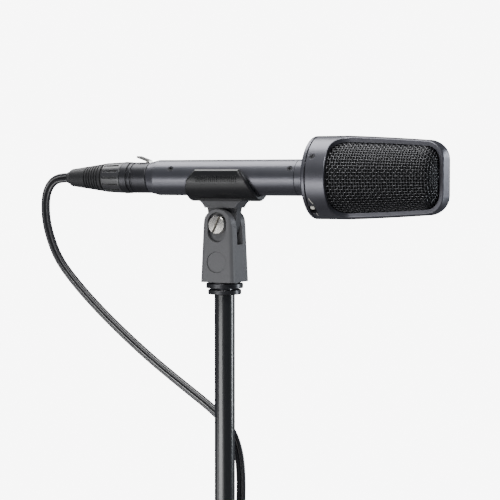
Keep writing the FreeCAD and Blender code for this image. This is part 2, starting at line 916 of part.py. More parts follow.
def cord(name, route):
    """A round tube of straight runs joined by the largest arcs that they allow."""
    points = [Vector(*p) for p in route]
    edges = []
    here = points[0]
    radii = []
    for before, corner, after in zip(points, points[1:], points[2:]):
        back, on = before - corner, after - corner
        reach = 0.45 * min(back.Length, on.Length)
        turn = math.pi - back.getAngle(on)
        back.normalize()
        on.normalize()
        radius = reach / math.tan(turn / 2)
        radii.append(radius)
        inward = (back + on).normalize()
        middle = corner + inward * (radius / math.cos(turn / 2) - radius)
        start, end = corner + back * reach, corner + on * reach
        edges.append(Part.LineSegment(here, start).toShape())
        edges.append(Part.Arc(start, middle, end).toShape())
        here = end
    edges.append(Part.LineSegment(here, points[-1]).toShape())
    path = Part.Wire(edges)
    circle = Part.Circle(points[0], points[1] - points[0], cord_r)
    tube = path.makePipeShell([Part.Wire(circle.toShape())], True, False)
    expected = math.pi * cord_r ** 2 * path.Length
    print(f"{name}: length {path.Length:.1f} mm, volume {tube.Volume / expected:.4f} of section x length,"
          f" radii " + " ".join(f"{r:.0f}" for r in radii))
    return tube


def belt(z_low, z_high, extra):
    """A band round the tube and both cords: two rounds and the straight sides between them."""
    big_r, small_r = tube_r + 0.4 + extra, 3.25 + extra
    cx, cy = LEAD[-1][:2]
    between = math.hypot(cx, cy)
    lean = math.atan2(cy, cx)
    spread = math.acos((big_r - small_r) / between)
    corners = []
    for side in (1, -1):
        angle = lean + side * spread
        corners.append(Vector(big_r * math.cos(angle), big_r * math.sin(angle), z_low))
        corners.append(Vector(cx + small_r * math.cos(angle), cy + small_r * math.sin(angle), z_low))
    loop = [corners[0], corners[1], corners[3], corners[2], corners[0]]
    height = Vector(0, 0, z_high - z_low)
    middle = Part.Face(Part.makePolygon(loop)).extrude(height)
    big = Part.makeCylinder(big_r, z_high - z_low, Vector(0, 0, z_low))
    small = Part.makeCylinder(small_r, z_high - z_low, Vector(cx, cy, z_low))
    return middle.fuse(big).fuse(small).removeSplitter()


def end_plug(name, route):
    """Three-pin output plug under the end of one cord."""
    x, y, top = route[-1]
    mouth_r, mouth_depth = 8.0, 17.0
    low = top - end_plug_length
    shoulder = top - 19.0
    inside = low + mouth_depth
    waist, band = low + 18.5, low + 38.0
    shell = upright([
        (mouth_r, low),
        (end_plug_r - 0.3, low),
        (end_plug_r, low + 0.3),
        (end_plug_r, waist),
        (end_plug_r - 0.5, waist + 0.5),
        (end_plug_r - 0.5, waist + 2.0),
        (end_plug_r, waist + 2.5),
        (end_plug_r, band),
        (end_plug_r - 0.4, band + 0.4),
        (end_plug_r - 0.4, band + 1.2),
        (end_plug_r, band + 1.6),
        (8.6, shoulder),
        (4.0, shoulder),
        (mouth_r, shoulder - 8.0),
    ], x, y)
    disc = upright([(0, inside), (mouth_r, inside), (mouth_r, inside + 7), (0, inside + 7)], x, y)
    pins = []
    for angle in (-150, -30, 90):
        px = x + 4.2 * math.cos(math.radians(angle))
        py = y + 4.2 * math.sin(math.radians(angle))
        pin = rod(1.15, (px, py, low + 5.5), (px, py, inside + 9.0))
        pins.append(pin)
        disc = disc.cut(pin)
    boot = upright([
        (0, shoulder),
        (8.2, shoulder),
        (8.0, shoulder + 2.0),
        (6.2, shoulder + 6.0),
        (5.6, shoulder + 6.0),
        (5.4, shoulder + 7.2),
        (5.8, shoulder + 7.2),
        (4.6, shoulder + 11.5),
        (4.0, shoulder + 11.5),
        (3.9, shoulder + 12.7),
        (4.3, shoulder + 12.7),
        (2.7, top - 0.5),
        (2.4, top),
        (0, top),
    ], x, y)
    save(name + "_shell", shell)
    save(name + "_insert", disc)
    save(name + "_pins", group(pins))
    save(name + "_boot", boot)


left_route = beside(LEAD, 1) + LEFT_END
right_route = beside(LEAD, -1) + RIGHT_END
save("lead_left", cord("lead_left", left_route))
save("lead_right", cord("lead_right", right_route))
save("lead_tie", belt(tie_bottom, tie_top, tie_thickness).cut(belt(tie_bottom - 1, tie_top + 1, 0)))
end_plug("left_plug", left_route)
end_plug("right_plug", right_route)
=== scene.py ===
# %% [markdown]
# # A ribbon microphone in its stand clip
# The object is a long microphone with a meshed head at one end and a plug at the other. It lies
# in an open plastic clip, the clip pivots on a stand tube, and a twin lead hangs behind the tube.
# The hard parts arrive from the CAD model and stay where they are. This lesson adds what a
# CAD model leaves plain: woven wire, cords, a strap, small printed marks, and every finish.

# %% Load the frame
import json
import math

import bmesh
import bpy
from mathutils import Matrix, Vector


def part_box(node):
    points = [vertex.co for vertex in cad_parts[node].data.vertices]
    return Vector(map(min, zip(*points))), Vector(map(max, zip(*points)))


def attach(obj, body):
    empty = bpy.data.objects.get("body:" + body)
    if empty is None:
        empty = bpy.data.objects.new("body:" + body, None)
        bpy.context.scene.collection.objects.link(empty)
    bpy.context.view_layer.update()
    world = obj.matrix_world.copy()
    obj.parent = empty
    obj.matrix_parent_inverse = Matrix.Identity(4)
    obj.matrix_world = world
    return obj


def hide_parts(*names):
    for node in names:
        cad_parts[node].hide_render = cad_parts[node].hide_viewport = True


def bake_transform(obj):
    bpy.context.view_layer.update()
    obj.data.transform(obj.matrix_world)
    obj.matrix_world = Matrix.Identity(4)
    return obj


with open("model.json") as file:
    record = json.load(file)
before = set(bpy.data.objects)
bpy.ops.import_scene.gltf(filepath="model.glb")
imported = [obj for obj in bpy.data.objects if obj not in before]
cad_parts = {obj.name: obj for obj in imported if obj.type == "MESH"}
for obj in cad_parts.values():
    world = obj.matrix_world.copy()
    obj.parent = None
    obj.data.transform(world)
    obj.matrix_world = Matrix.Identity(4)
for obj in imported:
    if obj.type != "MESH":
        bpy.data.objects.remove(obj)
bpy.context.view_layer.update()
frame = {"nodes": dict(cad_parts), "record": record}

# %% [markdown]
# ## The camera
# A product shot like this one uses a long lens from a little under a metre away, so that the
# microphone keeps its proportions. The camera could be aimed with a constraint, but a turn and
# a dip given as two angles are easier to read and never change when the object moves.

# %% Camera
handle_low, handle_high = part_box("handle_tube")
axis_z = (handle_low.z + handle_high.z) / 2
turn = math.radians(26.0)
dip = math.radians(-2.655)
camera_distance = 0.911
camera_sidestep = 0.0148

to_camera = Vector((math.sin(turn), -math.cos(turn), 0.0))
to_right = Vector((math.cos(turn), math.sin(turn), 0.0))
lens = bpy.data.cameras.new("camera")
lens.sensor_width = 36.0
lens.lens = 112.32
camera = bpy.data.objects.new("camera", lens)
bpy.context.collection.objects.link(camera)
camera.location = Vector((0, 0, axis_z)) + to_camera * camera_distance + to_right * camera_sidestep
camera.rotation_euler = (math.radians(90.0) + dip, 0.0, turn)
bpy.context.scene.camera = camera
print("camera at", [round(value, 3) for value in camera.location])

# %% [markdown]
# ## A tube along a line
# Cords, woven wires and printed strokes are all a section carried along a line. A curve with a
# bevel would do it too, but a mesh lets one function serve every piece and keeps the number of
# faces known. The section is carried along without twisting: each new direction turns the last
# one as little as it can.

# %% Helpers that make meshes
def new_piece(name, mesh_data):
    """Link a finished bmesh into the scene as a smooth-shaded piece."""
    mesh = bpy.data.meshes.new(name)
    mesh_data.to_mesh(mesh)
    mesh_data.free()
    mesh.shade_smooth()
    piece = bpy.data.objects.new(name, mesh)
    bpy.context.collection.objects.link(piece)
    return piece


def add_tube(mesh_data, line, section):
    """Carry a closed section, given as (sideways, outwards) pairs, along a line of points."""
    side = None
    rings = []
    last = len(line) - 1
    for place, point in enumerate(line):
        along = (line[min(place + 1, last)] - line[max(place - 1, 0)]).normalized()
        side = along.orthogonal() if side is None else side - along * side.dot(along)
        side.normalize()
        out = along.cross(side)
        rings.append([mesh_data.verts.new(point + side * a + out * b) for a, b in section])
    for ring, following in zip(rings, rings[1:]):
        for k in range(len(section)):
            j = (k + 1) % len(section)
            mesh_data.faces.new((ring[k], ring[j], following[j], following[k]))
    mesh_data.faces.new(reversed(rings[0]))
    mesh_data.faces.new(rings[-1])


def round_section(radius, sides):
    """A regular polygon that stands for a round wire or cord."""
    steps = [math.tau * k / sides for k in range(sides)]
    return [(radius * math.cos(a), radius * math.sin(a)) for a in steps]


print("helpers: new_piece, add_tube, round_section")

# %% [markdown]
# ## The twin lead
# One round cord leaves the boot for each of the two outputs. They run side by side, drop behind
# the clip, cross behind the tube and go down it to a tie. A cord like this is limp, so it hangs
# in one long curve. A NURBS line through a few listed points gives that curve with no flats
# or corners, and a mesh tube then follows the line.

# %% The route of the lead
cord_radius = 0.0015
pair_half = 0.00147          # the two jackets touch, as in a moulded pair
lead_middle = [
    (-0.1070, 0.0000, 0.3400),
    (-0.1140, 0.0000, 0.3400),
    (-0.1200, 0.0002, 0.3368),
    (-0.1235, 0.0003, 0.3310),
    (-0.1247, 0.0004, 0.3230),
    (-0.1241, 0.0007, 0.3125),
    (-0.1210, 0.0012, 0.3010),
    (-0.1160, 0.0019, 0.2896),
    (-0.1070, 0.0030, 0.2780),
    (-0.0935, 0.0047, 0.2637),
    (-0.0765, 0.0066, 0.2481),
    (-0.0550, 0.0088, 0.2304),
    (-0.0320, 0.0104, 0.2142),
    (-0.0130, 0.0114, 0.2014),
    (-0.0015, 0.0116, 0.1905),
    (0.0038, 0.0116, 0.1770),
    (0.0051, 0.0116, 0.1610),
    (0.0047, 0.0116, 0.1460),
]
left_end = [(0.0031, 0.0118, 0.1310), (-0.0032, 0.0142, 0.1195), (-0.0080, 0.0170, 0.1080),
            (-0.0080, 0.0170, 0.0960)]
right_end = [(0.0063, 0.0118, 0.1310), (0.0096, 0.0142, 0.1195), (0.0126, 0.0170, 0.1080),
             (0.0126, 0.0170, 0.0960)]


def beside(route, side):
    """Move the pair's middle sideways in its own upright plane, to one cord's line."""
    moved = []
    last = len(route) - 1
    for place, (x, y, z) in enumerate(route):
        before, after = route[max(place - 1, 0)], route[min(place + 1, last)]
        dx, dz = after[0] - before[0], after[2] - before[2]
        if place < 2:
            dx, dz = -1.0, 0.0
        reach = side * pair_half / math.hypot(dx, dz)
        moved.append(Vector((x + reach * dz, y, z - reach * dx)))
    return moved


print("lead points:", len(lead_middle), "plus", len(left_end), "for each end")

# %% The two cords
def hanging_line(name, points):
    """Points along the smooth NURBS line that has these control points."""
    curve = bpy.data.curves.new(name, "CURVE")
    curve.dimensions = "3D"
    spline = curve.splines.new("NURBS")
    spline.points.add(len(points) - 1)
    for control, point in zip(spline.points, points):
        control.co = (*point, 1.0)
    spline.order_u = 3
    spline.use_endpoint_u = True
    spline.resolution_u = 10
    holder = bpy.data.objects.new(name, curve)
    bpy.context.collection.objects.link(holder)
    bpy.context.view_layer.update()
    mesh = bpy.data.meshes.new_from_object(holder)
    line = [vertex.co.copy() for vertex in mesh.vertices]
    bpy.data.objects.remove(holder)
    bpy.data.curves.remove(curve)
    bpy.data.meshes.remove(mesh)
    return line


def make_cord(side_name, side, end_points):
    """One cord of the lead, in place of the CAD lead on that side."""
    line = hanging_line(
        side_name + "_line", beside(lead_middle, side) + [Vector(p) for p in end_points])
    mesh_data = bmesh.new()
    add_tube(mesh_data, line, round_section(cord_radius, 16))
    cord = new_piece(side_name + "_cord", mesh_data)
    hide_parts("lead_" + side_name)
    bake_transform(cord)
    return cord


cords = [make_cord("left", 1, left_end), make_cord("right", -1, right_end)]

# %% [markdown]
# ## Light, floor and background
# Dark satin metal shows only what it reflects, so most lights are soft panels placed for their
# reflections. One overhead draws the bright line along the handle, and one low and close in front
# draws the softer band below it. One farther off in front shows in the upright tube and the clip's
# flat faces, and a high one lights the matte plastic. A narrow strip at the right draws the thin
# line down the tube, and a panel behind at the right lights the head's flat end. The background is
# near white to the eye alone, and what the metal reflects is a dim grey room.

# %% Lights
def soft_panel(name, location, aim, size, power, tint=(1.0, 1.0, 1.0)):
    """A rectangular area light that can't be seen itself."""
    light = bpy.data.lights.new(name, "AREA")
    light.shape = "RECTANGLE"
    light.size, light.size_y = size
    light.energy = power
    light.color = tint
    panel = bpy.data.objects.new(name, light)
    bpy.context.collection.objects.link(panel)
    panel.location = location
    panel.rotation_euler = (Vector(aim) - Vector(location)).to_track_quat("-Z", "Y").to_euler()
    panel.visible_camera = False
    return panel


centre = Vector((0.0, 0.0, axis_z))
under_overhead = (-0.35, 0.0, axis_z)
tube_middle = (0.0, 0.0, 0.22)
cool, cooler = (0.90, 0.96, 1.0), (0.88, 0.92, 1.0)
panels = [
    soft_panel("overhead_panel", (-0.35, 0.16, 1.02), under_overhead, (0.95, 0.58), 10.8),
    soft_panel("low_front_panel", (-0.20, -0.36, 0.04), centre, (0.8, 0.18), 0.70),
    soft_panel("front_panel", (-0.34, -0.88, 0.058), (0.0, 0.0, 0.20), (0.66, 0.24), 2.7),
    soft_panel("right_strip", (0.68, 0.41, 0.22), tube_middle, (0.045, 0.28), 1.9, cool),
    soft_panel("high_front_panel", (0.18, -0.68, 1.05), centre, (0.3, 0.3), 6.5),
    soft_panel("rear_right_panel", (0.44, 0.80, 0.46), (0.1, 0.0, axis_z), (0.36, 0.20), 1.1,
               cooler),
]
print("soft panels:", [panel.name for panel in panels])

# %% Background
world = bpy.data.worlds.new("studio")
bpy.context.scene.world = world
world.use_nodes = True
room = world.node_tree
room.nodes.clear()
path = room.nodes.new("ShaderNodeLightPath")
seen = room.nodes.new("ShaderNodeBackground")
seen.inputs["Color"].default_value = (1.0, 1.0, 1.0, 1.0)
seen.inputs["Strength"].default_value = 8.0
reflected = room.nodes.new("ShaderNodeBackground")
reflected.inputs["Color"].default_value = (0.78, 0.84, 1.0, 1.0)
reflected.inputs["Strength"].default_value = 0.13
either = room.nodes.new("ShaderNodeMixShader")
room.links.new(path.outputs["Is Camera Ray"], either.inputs[0])
room.links.new(reflected.outputs[0], either.inputs[1])
room.links.new(seen.outputs[0], either.inputs[2])
out = room.nodes.new("ShaderNodeOutputWorld")
room.links.new(either.outputs[0], out.inputs["Surface"])
print("background: near white to the eye, dim grey in reflections")

# %% [markdown]
# ## Small tools for materials
# Every finish below is a node network. Two short helpers keep them readable: one adds a node and
# wires or sets its sockets by name, and one starts a node group with its own named sockets.
# A group here is an effect that several finishes share, and it gives only masks, shades, normals
# or heights. The surface shader itself stays in each material.

# %% Node helpers
def add_node(tree, kind, inputs=None, **settings):
    """Add a node. A socket given as a value is wired, and a plain value is set."""
    node = tree.nodes.new(kind)
    for name, value in settings.items():
        setattr(node, name, value)
    for name, value in (inputs or {}).items():
        if isinstance(value, bpy.types.NodeSocket):
            tree.links.new(value, node.inputs[name])
        else:
            node.inputs[name].default_value = value
    return node


def start_group(name, inputs, outputs):
    """A new node group whose inputs are (name, default) pairs; returns its tree and two ends."""
    tree = bpy.data.node_groups.new(name, "ShaderNodeTree")
    for socket, default in inputs:
        made = tree.interface.new_socket(socket, in_out="INPUT", socket_type="NodeSocketFloat")
        made.default_value = default
    for socket, kind in outputs:
        tree.interface.new_socket(socket, in_out="OUTPUT", socket_type=kind)
    return tree, tree.nodes.new("NodeGroupInput"), tree.nodes.new("NodeGroupOutput")


def use_group(tree, name, **inputs):
    """Put a finished group into a material with its inputs set."""
    node = tree.nodes.new("ShaderNodeGroup")
    node.node_tree = bpy.data.node_groups[name]
    for socket, value in inputs.items():
        node.inputs[socket].default_value = value
    return node


def arithmetic(tree, operation, first, second):
    """One sum on two values or sockets."""
    return add_node(tree, "ShaderNodeMath", {0: first, 1: second}, operation=operation).outputs[0]


print("node helpers ready")

# %% [markdown]
# ## Fine grain
# Powder-coated metal and moulded plastic are never quite smooth. Their grain is a fraction of a
# millimetre wide and a few thousandths deep. Noise in the piece's own space gives it, as a height
# in metres for the bump and as a shade that varies the colour a little. A second, coarser noise
# keeps the surface from looking printed.

# %% Group: fine grain
def make_fine_grain():
    tree, given, result = start_group(
        "Fine grain", [("Scale", 3000.0), ("Depth", 0.000004)],
        [("Height", "NodeSocketFloat"), ("Shade", "NodeSocketFloat")])
    place = add_node(tree, "ShaderNodeTexCoord").outputs["Object"]
    fine = add_node(tree, "ShaderNodeTexNoise",
                    {"Vector": place, "Scale": given.outputs["Scale"], "Detail": 2.0})
    coarse = add_node(tree, "ShaderNodeTexNoise", {"Vector": place, "Scale": 160.0, "Detail": 3.0})
    height = arithmetic(tree, "MULTIPLY", fine.outputs[0], given.outputs["Depth"])
    shade = add_node(tree, "ShaderNodeMix", {0: 0.45, 2: fine.outputs[0], 3: coarse.outputs[0]})
    tree.links.new(height, result.inputs["Height"])
    tree.links.new(shade.outputs[0], result.inputs["Shade"])
    return tree


print("group:", make_fine_grain().name)

# %% [markdown]
# ## Rounded and worn edges
# No real edge is perfectly sharp. It catches a line of light, and where it is handled the paint
# thins there first. The Bevel node gives the normal that a rounded edge would have. How far that
# normal turns from the flat one says where the edges are, and noise breaks the worn line up.

# %% Group: edge wear
def make_edge_wear():
    tree, given, result = start_group(
        "Edge wear", [("Width", 0.0003), ("Amount", 0.4)],
        [("Mask", "NodeSocketFloat"), ("Normal", "NodeSocketVector")])
    rounded = add_node(tree, "ShaderNodeBevel", {"Radius": given.outputs["Width"]}, samples=4)
    flat = add_node(tree, "ShaderNodeNewGeometry").outputs["Normal"]
    likeness = add_node(tree, "ShaderNodeVectorMath", {0: rounded.outputs[0], 1: flat},
                        operation="DOT_PRODUCT").outputs["Value"]
    edge = add_node(tree, "ShaderNodeMapRange",
                    {"Value": likeness, "From Min": 0.995, "From Max": 0.80})
    place = add_node(tree, "ShaderNodeTexCoord").outputs["Object"]
    patches = add_node(tree, "ShaderNodeTexNoise", {"Vector": place, "Scale": 420.0, "Detail": 4.0})
    broken = add_node(tree, "ShaderNodeMapRange",
                      {"Value": patches.outputs[0], "From Min": 0.38, "From Max": 0.62})
    mask = arithmetic(tree, "MULTIPLY", edge.outputs[0], broken.outputs[0])
    mask = arithmetic(tree, "MULTIPLY", mask, given.outputs["Amount"])
    tree.links.new(mask, result.inputs["Mask"])
    tree.links.new(rounded.outputs[0], result.inputs["Normal"])
    return tree


print("group:", make_edge_wear().name)

# %% [markdown]
# ## Handling marks and dust
# Fingers leave soft patches that are a little shinier or duller than the rest, a centimetre or so
# across. A trace of dust lies on faces that look up. Both are masks, so each finish decides how
# much they change its colour and roughness.

# %% Group: handling marks
def make_handling_marks():
    tree, given, result = start_group(
        "Handling marks", [("Amount", 1.0)],
        [("Smudge", "NodeSocketFloat"), ("Dust", "NodeSocketFloat")])
    place = add_node(tree, "ShaderNodeTexCoord").outputs["Object"]
    patches = add_node(tree, "ShaderNodeTexNoise",
                       {"Vector": place, "Scale": 70.0, "Detail": 5.0, "Distortion": 0.6})
    smudge = arithmetic(tree, "MULTIPLY", patches.outputs[0], given.outputs["Amount"])
    facing = add_node(tree, "ShaderNodeSeparateXYZ",
                      {0: add_node(tree, "ShaderNodeNewGeometry").outputs["Normal"]}).outputs["Z"]
    upward = add_node(tree, "ShaderNodeMapRange",
                      {"Value": facing, "From Min": 0.45, "From Max": 1.0})
    specks = add_node(tree, "ShaderNodeTexNoise", {"Vector": place, "Scale": 1500.0, "Detail": 3.0})
    bits = add_node(tree, "ShaderNodeMapRange",
                    {"Value": specks.outputs[0], "From Min": 0.50, "From Max": 0.75})
    dust = arithmetic(tree, "MULTIPLY", upward.outputs[0], bits.outputs[0])
    dust = arithmetic(tree, "MULTIPLY", dust, given.outputs["Amount"])
    tree.links.new(smudge, result.inputs["Smudge"])
    tree.links.new(dust, result.inputs["Dust"])
    return tree


print("group:", make_handling_marks().name)

# %% [markdown]
# ## Tool lines
# A turned or drawn metal part keeps fine parallel lines from the tool. Noise squeezed along one
# direction draws them. The three stretch inputs say how fast the lines change along each axis,
# so a small number lets the lines run long that way.

# %% Group: tool lines
def make_tool_lines():
    tree, given, result = start_group(
        "Tool lines",
        [("Along X", 4000.0), ("Along Y", 100.0), ("Along Z", 100.0), ("Depth", 0.000002)],
        [("Height", "NodeSocketFloat"), ("Shade", "NodeSocketFloat")])
    place = add_node(tree, "ShaderNodeTexCoord").outputs["Object"]
    stretch = add_node(tree, "ShaderNodeCombineXYZ", {
        side: given.outputs["Along " + side] for side in "XYZ"})
    squeezed = add_node(tree, "ShaderNodeVectorMath", {0: place, 1: stretch.outputs[0]},
                        operation="MULTIPLY").outputs["Vector"]
    lines = add_node(tree, "ShaderNodeTexNoise", {"Vector": squeezed, "Scale": 1.0, "Detail": 3.0})
    height = arithmetic(tree, "MULTIPLY", lines.outputs[0], given.outputs["Depth"])
    tree.links.new(height, result.inputs["Height"])
    tree.links.new(lines.outputs[0], result.inputs["Shade"])
    return tree


print("group:", make_tool_lines().name)

# %% [markdown]
# ## Cloth threads
# The inner screen and the strap are woven. Two sine waves at right angles, one along the piece
# and one up it, cross like warp and weft. Their product gives both the relief of the threads and
# the darker gaps between them.

# %% Group: cloth threads
def make_cloth_threads():
    tree, given, result = start_group(
        "Cloth threads", [("Spacing", 0.0004), ("Depth", 0.00005)],
        [("Height", "NodeSocketFloat"), ("Shade", "NodeSocketFloat")])
    place = add_node(tree, "ShaderNodeTexCoord").outputs["Object"]
    sides = add_node(tree, "ShaderNodeSeparateXYZ", {0: place})
    waves = []
    across = arithmetic(tree, "ADD", sides.outputs["X"], sides.outputs["Y"])
    for line in (across, sides.outputs["Z"]):
        turns = arithmetic(tree, "DIVIDE", line, given.outputs["Spacing"])
        angle = arithmetic(tree, "MULTIPLY", turns, math.tau)
        wave = add_node(tree, "ShaderNodeMath", {0: angle}, operation="SINE").outputs[0]
        waves.append(arithmetic(tree, "MULTIPLY_ADD", wave, 0.5))
        waves[-1].node.inputs[2].default_value = 0.5
    threads = arithmetic(tree, "MULTIPLY", waves[0], waves[1])
    height = arithmetic(tree, "MULTIPLY", threads, given.outputs["Depth"])
    tree.links.new(height, result.inputs["Height"])
    tree.links.new(threads, result.inputs["Shade"])
    return tree


print("group:", make_cloth_threads().name)

# %% [markdown]
# ## Painted shade in recesses
# A slot, a thread or the gap round a screw head is painted darker than an open face, as painted
# shade where less light gets in. Ambient occlusion measures how closed in a point is, and gives
# that as a mask.

# %% Group: recesses
def make_recesses():
    tree, given, result = start_group(
        "Painted recess shade", [("Reach", 0.0015)], [("Mask", "NodeSocketFloat")])
    open_sky = add_node(tree, "ShaderNodeAmbientOcclusion", {"Distance": given.outputs["Reach"]},
                        samples=8, only_local=True)
    closed = add_node(tree, "ShaderNodeMapRange", {
        "Value": open_sky.outputs["AO"], "From Min": 0.85, "From Max": 0.40})
    tree.links.new(closed.outputs[0], result.inputs["Mask"])
    return tree


print("group:", make_recesses().name)

# %% [markdown]
# ## Putting a finish together
# Every finish here has the same build: a base colour that the relief darkens a little, a worn
# colour on the edges, dust on top, painted shade in the recesses, a roughness that the smudges
# vary, and a bump on the rounded normal. One function wires that, and each finish then only says
# its own colours and amounts. Numbers that are the same all over the surface go straight onto
# the shader.

# %% The common build of a finish
dust_colour = (0.30, 0.29, 0.28)
recess_reach = 0.0015        # how near a wall must be to shade a recess


def start_surface(name, shine):
    """A new material with its shader's plain numbers set; returns it, its tree and the shader."""
    material = bpy.data.materials.new(name)
    material.use_nodes = True
    tree = material.node_tree
    shader = tree.nodes["Principled BSDF"]
    for socket, value in shine.items():
        shader.inputs[socket].default_value = value
    return material, tree, shader


def blend_colour(tree, mask, first, second):
    """Mix two colours, each a socket or a plain colour, by a mask."""
    node = tree.nodes.new("ShaderNodeMix")
    node.data_type = "RGBA"
    tree.links.new(mask, node.inputs[0])
    for socket, colour in ((node.inputs[6], first), (node.inputs[7], second)):
        if isinstance(colour, bpy.types.NodeSocket):
            tree.links.new(colour, socket)
        else:
            socket.default_value = (*colour, 1.0)
    return node.outputs[2]


def scaled(colour, factor):
    """A colour made lighter or darker."""
    return tuple(channel * factor for channel in colour)


def dress(name, base, worn, roughness, relief, shine, edge=(0.0003, 0.4), marks=0.5, depth=0.75):
    """Wire a finish. relief is (group, its inputs), and roughness runs from clean to smudged."""
    material, tree, shader = start_surface(name, shine)
    pattern = use_group(tree, relief[0], **relief[1])
    edges = use_group(tree, "Edge wear", Width=edge[0], Amount=edge[1])
    touched = use_group(tree, "Handling marks", Amount=marks)
    colour = blend_colour(
        tree, pattern.outputs["Shade"], scaled(base, depth), scaled(base, 2 - depth))
    colour = blend_colour(tree, edges.outputs["Mask"], colour, worn)
    dust = arithmetic(tree, "MULTIPLY", touched.outputs["Dust"], 0.10)
    colour = blend_colour(tree, dust, colour, dust_colour)
    # painted shade: where walls close in, the colour darkens towards 12% of the base
    painted_recess_shade = use_group(tree, "Painted recess shade", Reach=recess_reach)
    colour = blend_colour(tree, painted_recess_shade.outputs["Mask"], colour, scaled(base, 0.12))
    tree.links.new(colour, shader.inputs["Base Color"])
    dulled = add_node(tree, "ShaderNodeMapRange", {
        "Value": touched.outputs["Smudge"], "To Min": roughness[0], "To Max": roughness[1]})
    tree.links.new(dulled.outputs[0], shader.inputs["Roughness"])
    bump = add_node(tree, "ShaderNodeBump", {
        "Strength": 1.0, "Distance": 1.0, "Height": pattern.outputs["Height"],
        "Normal": edges.outputs["Normal"]})
    tree.links.new(bump.outputs[0], shader.inputs["Normal"])
    return material


print("finish builder ready")

# %% [markdown]
# ## Painted and blackened metal
# The body is aluminium under a satin dark grey coat with a little metal flake, so it reflects like
# a dark metal and its edges show a paler line. The screws are blackened steel, the plug has a
# smoother, darker coat, and the rings on the stand are between the two.

# %% Finish: dark satin metal
def dark_satin_metal():
    return dress("dark_satin_metal", (0.150, 0.150, 0.168), (0.30, 0.30, 0.32), (0.33, 0.42),
                 ("Fine grain", {"Scale": 2600.0, "Depth": 0.0000035}),
                 {"Metallic": 0.86}, edge=(0.00035, 0.35), marks=0.6, depth=0.86)


def dark_screw():
    return dress("dark_screw", (0.110, 0.110, 0.118), (0.30, 0.30, 0.31), (0.30, 0.42),
                 ("Fine grain", {"Scale": 5200.0, "Depth": 0.000003}),
                 {"Metallic": 0.9}, edge=(0.00012, 0.7), marks=0.4)


def plug_metal():
    return dress("plug_metal", (0.070, 0.070, 0.076), (0.22, 0.22, 0.23), (0.36, 0.46),
                 ("Tool lines", {"Along X": 2600.0, "Along Y": 60.0, "Along Z": 60.0}),
                 {"Metallic": 0.85}, edge=(0.0003, 0.5), marks=0.6)


def dark_ring():
    return dress("dark_ring", (0.075, 0.075, 0.080), (0.26, 0.26, 0.27), (0.30, 0.42),
                 ("Tool lines", {"Along X": 60.0, "Along Y": 60.0, "Along Z": 3600.0}),
                 {"Metallic": 0.8}, edge=(0.0003, 0.5), marks=0.5)


def gloss_black_tube():
    return dress("gloss_black_tube", (0.012, 0.012, 0.013), (0.10, 0.10, 0.10), (0.26, 0.38),
                 ("Fine grain", {"Scale": 600.0, "Depth": 0.0000025}),
                 {"Metallic": 0.0, "Coat Weight": 0.5, "Coat Roughness": 0.12,
                  "Specular IOR Level": 0.8},
                 edge=(0.0003, 0.3), marks=0.4)


print("painted metal finishes defined")

# %% [markdown]
# ## Bare metals
# Inside the head are turned aluminium plates, steel poles, brass clamps and drawn cans, and the
# pivot screw outside is bright nickel. They share the tool lines and differ in colour, shine and
# the direction that the tool ran in.

# %% Finish: bare metals
def bare_metal(name, base, roughness, lines=(2400.0, 60.0, 60.0), edge_amount=0.4):
    """A metal with no paint and tool lines across the chosen direction."""
    stretch = {"Along X": lines[0], "Along Y": lines[1], "Along Z": lines[2]}
    return dress(name, base, scaled(base, 1.25), roughness, ("Tool lines", stretch),
                 {"Metallic": 1.0}, edge=(0.00018, edge_amount), marks=0.5, depth=0.90)


def ribbon_foil():
    """Aluminium leaf, far too thin for edges to round."""
    material, tree, shader = start_surface("ribbon_foil", {"Metallic": 1.0})
    creases = use_group(
        tree, "Tool lines", **{"Along X": 9000.0, "Along Y": 300.0, "Along Z": 300.0})
    colour = blend_colour(tree, creases.outputs["Shade"], (0.70, 0.70, 0.71), (0.90, 0.90, 0.91))
    tree.links.new(colour, shader.inputs["Base Color"])
    varied = add_node(tree, "ShaderNodeMapRange", {
        "Value": creases.outputs["Shade"], "To Min": 0.16, "To Max": 0.30})
    tree.links.new(varied.outputs[0], shader.inputs["Roughness"])
    return material


print("bare metal finishes defined")

# %% [markdown]
# ## Plastics and rubber
# The clip is moulded in two plastics: a smooth satin one for the holder, black at the cradle and
# painted lighter grey below it as painted light, and a duller dark grey with a spark-eroded grain
# for the clevis. The boot is soft matte rubber that gives a broad, weak sheen, and the cords'
# jacket is smooth, shinier vinyl. On the moulded parts the wear is a paler, rubbed edge.

# %% Finish: plastics
def moulded(name, base, roughness, grain=(3200.0, 0.000006), edge=(0.0004, 0.25), specular=0.5):
    """A moulded plastic with the mould's own grain."""
    return dress(name, base, scaled(base, 2.4), roughness,
                 ("Fine grain", {"Scale": grain[0], "Depth": grain[1]}),
                 {"Metallic": 0.0, "Specular IOR Level": specular}, edge=edge, marks=0.6, depth=0.8)


def rubbery(name, base, roughness, sheen):
    """Rubber or soft vinyl: a moulded grain under a faint sheen."""
    return dress(name, base, scaled(base, 1.8), roughness,
                 ("Fine grain", {"Scale": 2200.0, "Depth": 0.000007}),
                 {"Metallic": 0.0, "Sheen Weight": sheen, "Sheen Roughness": 0.4},
                 edge=(0.0004, 0.2), marks=0.8, depth=0.8)


def vinyl(name, base):
    """The smooth extruded jacket of a cord, its highlight dulled here and there by handling."""
    material, tree, shader = start_surface(name, {"Metallic": 0.0, "Specular IOR Level": 0.9})
    grain = use_group(tree, "Fine grain", Scale=500.0, Depth=0.000001)
    smudge = use_group(tree, "Fine grain", Scale=90.0, Depth=0.000001)
    colour = blend_colour(tree, grain.outputs["Shade"], scaled(base, 0.85), scaled(base, 1.15))
    tree.links.new(colour, shader.inputs["Base Color"])
    varied = add_node(tree, "ShaderNodeMapRange", {
        "Value": smudge.outputs["Shade"], "To Min": 0.24, "To Max": 0.36})
    tree.links.new(varied.outputs[0], shader.inputs["Roughness"])
    return material


